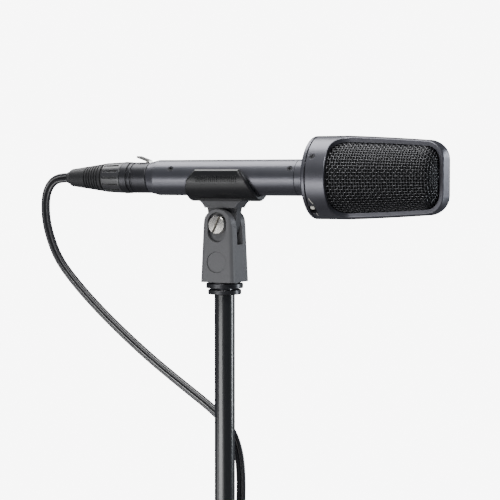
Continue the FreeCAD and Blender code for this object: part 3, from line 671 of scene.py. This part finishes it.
def holder_with_painted_lit_stem(cradle, stem):
    """The clip's holder: a polished black cradle over a stem painted lighter grey as painted light.
    """
    material = moulded("holder_plastic", cradle, (0.30, 0.42))
    tree = material.node_tree
    shader = tree.nodes["Principled BSDF"]
    place = add_node(tree, "ShaderNodeTexCoord").outputs["Object"]
    height = add_node(tree, "ShaderNodeSeparateXYZ", {0: place}).outputs["Z"]
    cradle_bottom = axis_z - 0.0136
    soft_step = 0.0002
    below = add_node(tree, "ShaderNodeMapRange", {
        "Value": height, "From Min": cradle_bottom + soft_step,
        "From Max": cradle_bottom - soft_step})
    was = shader.inputs["Base Color"].links[0].from_socket
    grain = use_group(tree, "Fine grain", Scale=2600.0, Depth=0.000009)
    # painted light: below the cradle the stem is painted a lighter grey
    painted_lit_stem = blend_colour(tree, grain.outputs["Shade"], scaled(stem, 0.8), scaled(stem, 1.2))
    tree.links.new(blend_colour(tree, below.outputs[0], was, painted_lit_stem), shader.inputs["Base Color"])
    return material


print("plastic and rubber finishes defined")

# %% [markdown]
# ## Woven things
# The coarse grille is black-painted wire: its crowns catch small glints, and painted shade darkens
# the valleys between them. The fine screen behind is acoustic cloth that must let sound through but
# stop dust; it is black, and painted darker still as painted shade. The strap is a nylon weave.

# %% Finish: woven things
def mesh_wire():
    """Semi-gloss black paint on wire, its tone varied by a fine grain."""
    material, tree, shader = start_surface(
        "mesh_wire", {"Metallic": 0.85, "Specular IOR Level": 0.6})
    grain = use_group(tree, "Fine grain", Scale=1800.0, Depth=0.000004)
    colour = blend_colour(
        tree, grain.outputs["Shade"], (0.062, 0.062, 0.065), (0.170, 0.170, 0.178))
    # painted shade: where the wires dip under each other the colour darkens nearly to black
    painted_recess_shade = use_group(tree, "Painted recess shade", Reach=0.0009)
    colour = blend_colour(tree, painted_recess_shade.outputs["Mask"], colour, (0.012, 0.012, 0.013))
    tree.links.new(colour, shader.inputs["Base Color"])
    varied = add_node(tree, "ShaderNodeMapRange", {
        "Value": grain.outputs["Shade"], "To Min": 0.20, "To Max": 0.36})
    tree.links.new(varied.outputs[0], shader.inputs["Roughness"])
    return material


def cloth(name, base, spacing, sheen):
    """A dull woven cloth with its threads as relief."""
    return dress(name, base, scaled(base, 1.6), (0.80, 0.95),
                 ("Cloth threads", {"Spacing": spacing, "Depth": spacing * 0.12}),
                 {"Metallic": 0.0, "Sheen Weight": sheen, "Sheen Roughness": 0.5},
                 edge=(0.0002, 0.1), marks=0.5, depth=0.45)


print("woven finishes defined")

# %% [markdown]
# ## Which part gets which finish
# The record says which finish each CAD part has. A small table from those names to the functions
# above makes each material once, and every part of that name shares it. The same table serves the
# pieces made here, so a piece and the part it replaces always match.

# %% The finishes by name
finishes = {
    "dark_satin_metal": dark_satin_metal(),
    "dark_screw": dark_screw(),
    "plug_metal": plug_metal(),
    "dark_ring": dark_ring(),
    "gloss_black_tube": gloss_black_tube(),
    "mesh_wire": mesh_wire(),
    "ribbon_foil": ribbon_foil(),
    # black cloth, painted darker than real cloth as painted shade inside the head
    "screen_cloth": cloth("screen_cloth", (0.003, 0.003, 0.003), 0.0004, 0.0),
    "tie_fabric": cloth("tie_fabric", (0.018, 0.018, 0.020), 0.0006, 0.35),
    "magnet": bare_metal("magnet", (0.20, 0.20, 0.21), (0.45, 0.60)),
    "pole_steel": bare_metal("pole_steel", (0.52, 0.52, 0.54), (0.24, 0.36)),
    "magnet_can": bare_metal("magnet_can", (0.46, 0.44, 0.41), (0.30, 0.42)),
    "brass_clamp": bare_metal("brass_clamp", (0.74, 0.54, 0.25), (0.24, 0.36)),
    "motor_plate": bare_metal("motor_plate", (0.60, 0.60, 0.62), (0.28, 0.40)),
    "gold_contact": bare_metal("gold_contact", (0.88, 0.66, 0.28), (0.18, 0.28)),
    "nickel": bare_metal("nickel", (0.80, 0.77, 0.71), (0.20, 0.32), (900.0, 60.0, 60.0), 0.6),
    "nickel_cream": moulded("nickel_cream", (0.74, 0.72, 0.64), (0.30, 0.42)),
    "soft_rubber": rubbery("soft_rubber", (0.020, 0.020, 0.020), (0.60, 0.75), 0.3),
    "boot_rubber": rubbery("boot_rubber", (0.019, 0.019, 0.020), (0.46, 0.60), 0.15),
    "lead_jacket": vinyl("lead_jacket", (0.022, 0.022, 0.024)),
    "black_insulator": moulded("black_insulator", (0.020, 0.020, 0.021), (0.40, 0.52)),
    "circuit_board": moulded("circuit_board", (0.015, 0.130, 0.060), (0.25, 0.38)),
    "component_plastic": moulded("component_plastic", (0.030, 0.030, 0.032), (0.35, 0.50)),
    "wire_jacket": moulded("wire_jacket", (0.30, 0.028, 0.022), (0.40, 0.52)),
    "plug_bushing_plastic": moulded("plug_bushing_plastic", (0.038, 0.038, 0.041), (0.28, 0.36),
                                    specular=0.9),
    "clevis_plastic": moulded("clevis_plastic", (0.110, 0.110, 0.115), (0.44, 0.56),
                              (2600.0, 0.000009)),
    "holder_plastic": holder_with_painted_lit_stem((0.013, 0.013, 0.014), (0.075, 0.075, 0.079)),
}
print("finishes:", len(finishes))

# %% Finishes on the CAD parts
def coat(piece, finish_name):
    """Give every face of a piece one finish."""
    material = finishes[finish_name]
    if not piece.material_slots:
        piece.data.materials.append(material)
    for place in piece.material_slots:
        place.material = material


for entry in frame["record"]["subparts"]:
    coat(frame["nodes"][entry["node"]], entry["material_slot"])
for cord in cords:
    coat(cord, "lead_jacket")

# %% [markdown]
# ## The woven grille
# The real grille is one sheet of plain-woven wire, pressed into a half tub for each side of the
# head. A texture would look flat at the rim, so each wire is modelled. One set runs along the
# head and bends round its end, the other set goes round it, and at each crossing one wire rises
# as the other dips. The surface they follow is the head's own outline, moved inwards.

# %% The outline the wires follow
head_low, head_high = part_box("head_frame")
head_radius = (head_high.z - head_low.z) / 2
head_end = head_high.x
outline_start = 0.0715       # hidden under the collar's rim
taper_start = 0.0787
taper_end = head_end - 0.010
radius_mid = 0.02242
radius_end = 0.0208
corner_radius = 0.010
corner_degrees = 1.5         # between outline points round the corner
end_gap = 0.005              # the wires stop this far from the axis on the flat end
wire_radius = 0.00027
crown_rise = 0.00030         # how far the lengthwise wires rise and dip
hoop_rise = 0.00020          # the hoops are straighter
wire_depth = 0.00306         # the middle of the weave, under the head's outside
pitch_along = 0.00160        # from one hoop to the next
pitch_round = 0.00190        # from one lengthwise wire to the next


def head_outline(inset, step=0.0002):
    """Closely spaced (x, radius) points along one side of the head and over its end."""
    taper = taper_end - taper_start
    points = []
    count = int((taper_end - outline_start) / step)
    for k in range(count):
        x = outline_start + k * step
        part = max(0.0, (x - taper_start) / taper)
        fall = (4 * radius_mid - 3 * head_radius - radius_end) * part
        fall += (2 * head_radius + 2 * radius_end - 4 * radius_mid) * part ** 2
        points.append((x, head_radius + fall - inset))
    bend = corner_radius - inset
    centre_radius = radius_end - corner_radius
    for k in range(int(90 / corner_degrees) + 1):
        angle = math.radians(90 - corner_degrees * k)
        points.append((taper_end + bend * math.cos(angle), centre_radius + bend * math.sin(angle)))
    while points[-1][1] > end_gap:
        points.append((points[-1][0], points[-1][1] - step))
    return points


outline = head_outline(wire_depth)
print("outline points:", len(outline), "end at", round(outline[-1][0], 4))

# %% Stations along the outline
half_pitch = pitch_along / 2


def stations(points, gap):
    """(x, radius, normal) every gap along the outline."""
    found = []
    walked, wanted = 0.0, 0.0
    for (x0, r0), (x1, r1) in zip(points, points[1:]):
        reach = math.hypot(x1 - x0, r1 - r0)
        while wanted <= walked + reach:
            part = (wanted - walked) / reach
            normal = ((r0 - r1) / reach, (x1 - x0) / reach)
            found.append((x0 + (x1 - x0) * part, r0 + (r1 - r0) * part, normal))
            wanted += gap
        walked += reach
    return found


grid_rows = stations(outline, half_pitch)
wire_gap = pitch_round / (head_radius - wire_depth)
wires_each_side = 32
least_depth = 0.0045         # nearer the middle of the flat end there is no weave
print("half-pitch rows:", len(grid_rows), "wires along:", wires_each_side)


def weave_point(row, place, side, lift):
    """A point of the weave: row along the head, place round it, lifted off its surface.

    Over the head's end a wire keeps the height that it had at the corner's start."""
    x, radius, (normal_x, normal_r) = grid_rows[row]
    angle = (place - (wires_each_side - 1) / 2) * wire_gap
    height = radius * math.sin(angle)
    if x > taper_end:
        height = (radius_end - wire_depth) * math.sin(angle)
    depth_squared = radius ** 2 - height ** 2
    if depth_squared <= least_depth ** 2 and x > taper_end:
        return None
    depth = math.sqrt(depth_squared)
    out = Vector((normal_x, side * normal_r * depth / radius, normal_r * height / radius))
    return Vector((x, side * depth, axis_z + height)) + out * lift


# %% The wires
def make_grille(name, side, node):
    """One half of the grille. side is -1 for the front and 1 for the rear."""
    mesh_data = bmesh.new()
    section = round_section(wire_radius, 5)
    wires = 0
    for place in range(wires_each_side):
        line = []
        for row in range(len(grid_rows)):
            rise = crown_rise * math.cos(math.pi * (row / 2 + place))
            line.append(weave_point(row, place, side, rise))
        line = [point for point in line if point is not None]
        add_tube(mesh_data, line, section)
        wires += 1
    for row in range(0, len(grid_rows), 2):
        line = []
        for half_place in range(2 * wires_each_side - 1):
            rise = -hoop_rise * math.cos(math.pi * (half_place / 2 + row / 2))
            line.append(weave_point(row, half_place / 2, side, rise))
        line = [point for point in line if point is not None]
        if len(line) > 3:
            add_tube(mesh_data, line, section)
            wires += 1
    grille = new_piece(name, mesh_data)
    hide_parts(node)
    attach(grille, "microphone")
    coat(grille, "mesh_wire")
    print(name, "wires:", wires, "faces:", len(grille.data.polygons))
    return grille


make_grille("front_woven_grille", -1, "front_mesh")
make_grille("rear_woven_grille", 1, "rear_mesh")

# %% [markdown]
# ## The low-cut switch and its marks
# A small cream slider stands in a slot under the collar's front. Its real knob is moulded, with
# rounded corners and a dished top, so it replaces the CAD block. Beside it two thin strokes are
# printed: a sloping one where the bass is cut, and a level one where it isn't. They are thin
# raised lines here, bent to the collar, so that they stay crisp from any side.

# %% The switch knob
switch_x = 0.0632
switch_angle = math.radians(-45.7)


def on_collar(x, angle, radius):
    """A point round the microphone's axis; angle 0 is the front and it grows upwards."""
    return Vector((x, -radius * math.cos(angle), axis_z + radius * math.sin(angle)))


def make_knob():
    """A rounded knob with a dished top, built upright and then turned into its slot."""
    base_radius, top_radius = 0.0187, head_radius + 0.0002
    length = top_radius - base_radius
    mesh_data = bmesh.new()
    bmesh.ops.create_cube(mesh_data, size=1.0)
    bmesh.ops.scale(mesh_data, vec=(0.0024, 0.0023, length), verts=mesh_data.verts)
    bmesh.ops.bevel(mesh_data, geom=mesh_data.edges[:], offset=0.0005, segments=4, profile=0.5,
                    affect="EDGES")
    bmesh.ops.subdivide_edges(mesh_data, edges=mesh_data.edges[:], cuts=1, use_grid_fill=True)
    for vertex in mesh_data.verts:
        reach = math.hypot(vertex.co.x, vertex.co.y) / 0.0009
        if vertex.co.z > 0.3 * length and reach < 1.0:
            vertex.co.z -= 0.00025 * (1 - reach ** 2)
    outward = on_collar(0.0, switch_angle, 1.0) - on_collar(0.0, switch_angle, 0.0)
    along = Vector((1.0, 0.0, 0.0))
    turned = Matrix((along, outward.cross(along), outward)).transposed().to_4x4()
    middle = on_collar(switch_x, switch_angle, (base_radius + top_radius) / 2)
    mesh_data.transform(Matrix.Translation(middle) @ turned)
    return new_piece("low_cut_knob", mesh_data)


knob = make_knob()
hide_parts("switch_nub")
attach(knob, "low_cut_switch")
coat(knob, "nickel_cream")
print("knob faces:", len(knob.data.polygons))

# %% The printed strokes
def make_stroke(name, places, width=0.00030):
    """A thin printed line through (x, degrees) places on the collar."""
    thickness = 0.00008
    mesh_data = bmesh.new()
    line = [on_collar(x, math.radians(angle), head_radius) for x, angle in places]
    rings = []
    last = len(line) - 1
    for k, point in enumerate(line):
        along = (line[min(k + 1, last)] - line[max(k - 1, 0)]).normalized()
        out = (point - Vector((point.x, 0.0, axis_z))).normalized()
        side = along.cross(out) * width / 2
        lift = out * thickness
        rings.append([mesh_data.verts.new(point + offset)
                      for offset in (side - lift, side + lift, lift - side, -side - lift)])
    for ring, following in zip(rings, rings[1:]):
        for k in range(4):
            j = (k + 1) % 4
            mesh_data.faces.new((ring[k], ring[j], following[j], following[k]))
    mesh_data.faces.new(reversed(rings[0]))
    mesh_data.faces.new(rings[-1])
    stroke = new_piece(name, mesh_data)
    stroke.data.shade_flat()
    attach(stroke, "microphone")
    coat(stroke, "nickel_cream")
    return stroke


sloping = [(0.0626 + 0.0019 * k / 8, -29.0 - 9.0 * (k / 8) ** 0.7) for k in range(9)]
level = [(0.0641, -57.0 - 7.0 * k / 8) for k in range(9)]
strokes = [make_stroke("cut_mark", sloping), make_stroke("flat_mark", level)]
print("strokes:", [stroke.name for stroke in strokes])

# %% [markdown]
# ## The strap round the lead
# A hook-and-loop strap holds the two cords against the tube. It goes once round and laps over
# itself, so its line is a loop that steps outwards where it starts its second layer. The line is
# the taut outline round two circles, the tube and the pair of cords, and a soft-edged flat
# section follows it.

# %% The strap
tie_low, tie_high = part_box("lead_tie")
strap_thickness = 0.0010
strap_height = tie_high.z - tie_low.z
tube_radius = 0.0064
cords_radius = 0.00325
cords_at = Vector((0.0047, 0.0116))


def taut_outline(extra, count=96):
    """Points, evenly spread by angle, on the outline round the tube and the cords."""
    big, small = tube_radius + extra, cords_radius + extra
    lean = math.atan2(cords_at.y, cords_at.x)
    spread = math.acos((big - small) / cords_at.length)
    points = []
    for k in range(count):
        angle = lean + spread + (math.tau - 2 * spread) * k / (count - 1)
        points.append(Vector((big * math.cos(angle), big * math.sin(angle))))
    for k in range(count // 2):
        angle = lean - spread + 2 * spread * k / (count // 2 - 1)
        points.append(cords_at + Vector((small * math.cos(angle), small * math.sin(angle))))
    return points


inner, outer = taut_outline(strap_thickness / 2), taut_outline(strap_thickness * 1.55)
step_points, lap_points = 30, 44
step_start = len(inner) - step_points
strap_line = []
for k in range(len(inner) + lap_points):
    rise = min(1.0, max(0.0, (k - step_start) / step_points))
    rise = rise * rise * (3 - 2 * rise)
    at = inner[k % len(inner)].lerp(outer[k % len(inner)], rise)
    strap_line.append(Vector((at.x, at.y, (tie_low.z + tie_high.z) / 2)))
print("strap line points:", len(strap_line))


# %% Build the strap
def make_strap():
    half_height, half_thick, soft = strap_height / 2, strap_thickness / 2, 0.0003
    corners = [(half_thick, half_height - soft), (half_thick - soft, half_height)]
    signs = ((1, 1), (-1, 1), (-1, -1), (1, -1))
    profile = [(a * sa, b * sb) for sa, sb in signs for a, b in corners]
    profile = [profile[k] for k in (0, 1, 3, 2, 4, 5, 7, 6)]
    mesh_data = bmesh.new()
    rings = []
    last = len(strap_line) - 1
    for k, point in enumerate(strap_line):
        along = (strap_line[min(k + 1, last)] - strap_line[max(k - 1, 0)]).normalized()
        out = along.cross(Vector((0.0, 0.0, 1.0)))
        rings.append([mesh_data.verts.new(point + out * a + Vector((0.0, 0.0, b)))
                      for a, b in profile])
    for ring, following in zip(rings, rings[1:]):
        for k in range(8):
            j = (k + 1) % 8
            mesh_data.faces.new((ring[k], following[k], following[j], ring[j]))
    mesh_data.faces.new(rings[0])
    mesh_data.faces.new(reversed(rings[-1]))
    bmesh.ops.recalc_face_normals(mesh_data, faces=mesh_data.faces[:])
    return new_piece("lead_strap", mesh_data)


strap = make_strap()
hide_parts("lead_tie")
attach(strap, "clip_base")
coat(strap, "tie_fabric")
print("strap faces:", len(strap.data.polygons))

# %% [markdown]
# ## The floor
# A plain pale floor lies under the object. It is a disc whose rim fades out, so that no view shows
# a hard edge against the white background. In reflections it is darker, as a studio table is when
# black card lies round the object, and that keeps the undersides deep.

# %% Floor
floor_radius = 0.72
mesh_data = bmesh.new()
bmesh.ops.create_circle(mesh_data, cap_ends=True, radius=floor_radius, segments=96)
floor = new_piece("floor", mesh_data)
floor.location = (0.0, 0.0, -0.0004)
material, tree, shader = start_surface("pale_floor", {"Roughness": 0.7, "Specular IOR Level": 0.2})
mottle = use_group(tree, "Fine grain", Scale=900.0, Depth=0.00001)
pale = blend_colour(tree, mottle.outputs["Shade"], (0.80, 0.80, 0.80), (0.86, 0.86, 0.86))
glossy = add_node(tree, "ShaderNodeLightPath").outputs["Is Glossy Ray"]
tree.links.new(blend_colour(tree, glossy, pale, (0.10, 0.10, 0.11)), shader.inputs["Base Color"])
where = add_node(tree, "ShaderNodeTexCoord").outputs["Object"]
away = add_node(tree, "ShaderNodeVectorMath", {0: where}, operation="LENGTH").outputs["Value"]
solid = add_node(tree, "ShaderNodeMapRange", {
    "Value": away, "From Min": floor_radius, "From Max": floor_radius * 0.45},
    interpolation_type="SMOOTHSTEP")
tree.links.new(solid.outputs[0], shader.inputs["Alpha"])
floor.data.materials.append(material)
print("floor radius:", floor_radius, "m")

# %% [markdown]
# ## The end
# The last line brings the scene up to date.

# %% The end
bpy.context.view_layer.update()
